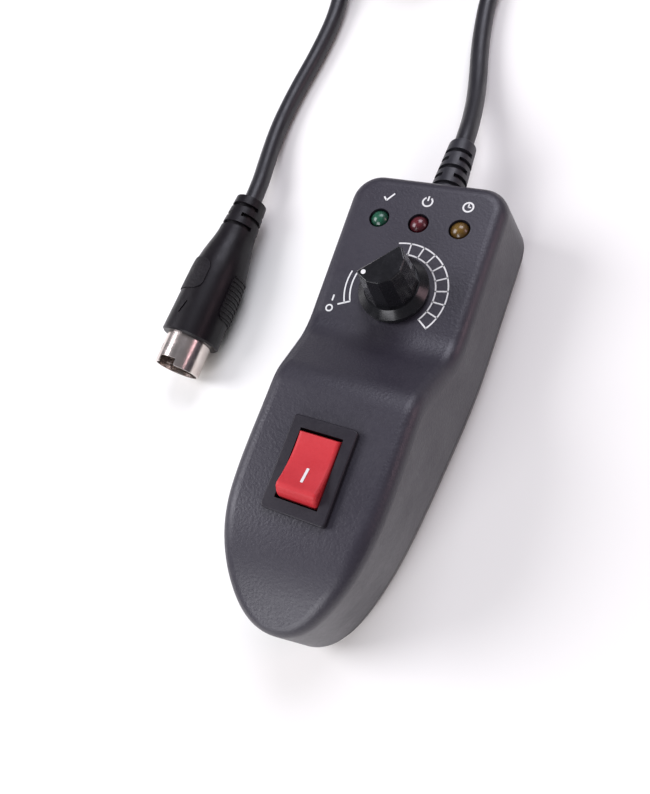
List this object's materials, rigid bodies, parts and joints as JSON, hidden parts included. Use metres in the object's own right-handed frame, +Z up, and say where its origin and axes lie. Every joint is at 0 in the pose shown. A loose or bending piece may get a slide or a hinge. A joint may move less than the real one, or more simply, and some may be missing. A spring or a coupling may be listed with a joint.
{
  "type": "wired timer hand controller",
  "caption": "Wired hand controller with a timer knob, indicator lamps and a rocker switch on a ramped handset, and a cord with a round multi-pin plug.",
  "frame": {"origin": "on the surface the handset lies on, at the centre of the handset's box (cord, boot and plug left out)", "axes": "+Z up; +Y along the handset from its nose to its cord end; +X to the right seen from above with the nose towards the viewer"},
  "size_m": [0.0977, 0.2848, 0.0431],
  "materials": {
    "charcoal_abs": "fine moulded grain, satin",
    "black_gloss": "polished moulding",
    "black_nylon": "satin moulding",
    "red_plastic": "satin moulding",
    "white_paint": "printed ink",
    "lens_green": "tinted clear resin",
    "lens_red": "tinted clear resin",
    "lens_yellow": "tinted clear resin",
    "screw_steel": "zinc plated",
    "nickel": "nickel plated, bright",
    "contact_brass": "plain brass",
    "tinned_lead": "tinned",
    "green_laminate": "solder mask",
    "phenolic": "phenolic laminate",
    "beige_ceramic": "lacquer",
    "blue_sleeve": "shrink sleeve",
    "wire_pvc": "soft PVC",
    "cord_pvc": "soft PVC jacket",
    "boot_pvc": "soft PVC moulding"
  },
  "bodies": {
    "handset": {"top_shell": "charcoal_abs", "bottom_shell": "charcoal_abs", "case_screws": "screw_steel", "circuit_board": "green_laminate", "board_screws": "screw_steel", "led_green": "lens_green", "led_red": "lens_red", "led_yellow": "lens_yellow", "led_leads": "tinned_lead", "timer_chip": "black_nylon", "capacitor": "blue_sleeve", "resistors": "beige_ceramic", "pot_body": "nickel", "pot_track": "phenolic", "pot_switch": "black_nylon", "pot_terminals": "tinned_lead", "pot_washer": "nickel", "pot_nut": "nickel", "rocker_housing": "black_nylon", "rocker_terminals": "contact_brass", "switch_wires": "wire_pvc", "pot_wires": "wire_pvc", "cord_wires": "wire_pvc", "cord_tail": "cord_pvc", "cord_from_boot": "cord_pvc", "cord_to_plug": "cord_pvc", "cord_coil": "cord_pvc", "coil_tie": "black_nylon", "cord_boot": "boot_pvc", "cable_tie": "black_nylon", "plug_body": "boot_pvc", "plug_shell": "nickel", "plug_insulator": "black_nylon", "plug_pins": "nickel"},
    "knob": {"control_knob": "black_gloss", "knob_dot": "white_paint", "pot_shaft": "screw_steel", "pot_wiper": "contact_brass"},
    "rocker": {"rocker_button": "red_plastic", "plunger_spring": "screw_steel", "rocker_plunger": "black_nylon"},
    "contact": {"contact_lever": "contact_brass"}
  },
  "joints": [
    {"name": "knob_turn", "type": "hinge", "parent": "handset", "child": "knob", "pos_m": [0, 0.0267, 0.026], "axis": [0, 0, 1], "range_deg": [-270, 0]},
    {"name": "rocker_tilt", "type": "hinge", "parent": "handset", "child": "rocker", "pos_m": [0, -0.0207, 0.03816], "axis": [1, 0, 0], "range_deg": [0, 20]},
    {"name": "contact_tilt", "type": "hinge", "parent": "handset", "child": "contact", "pos_m": [0, -0.02129, 0.02862], "axis": [1, 0, 0], "range_deg": [-16, 0]}
  ],
  "couplings": [
    {"joint": "contact_tilt", "follows": "rocker_tilt", "ratio": -0.8}
  ]
}
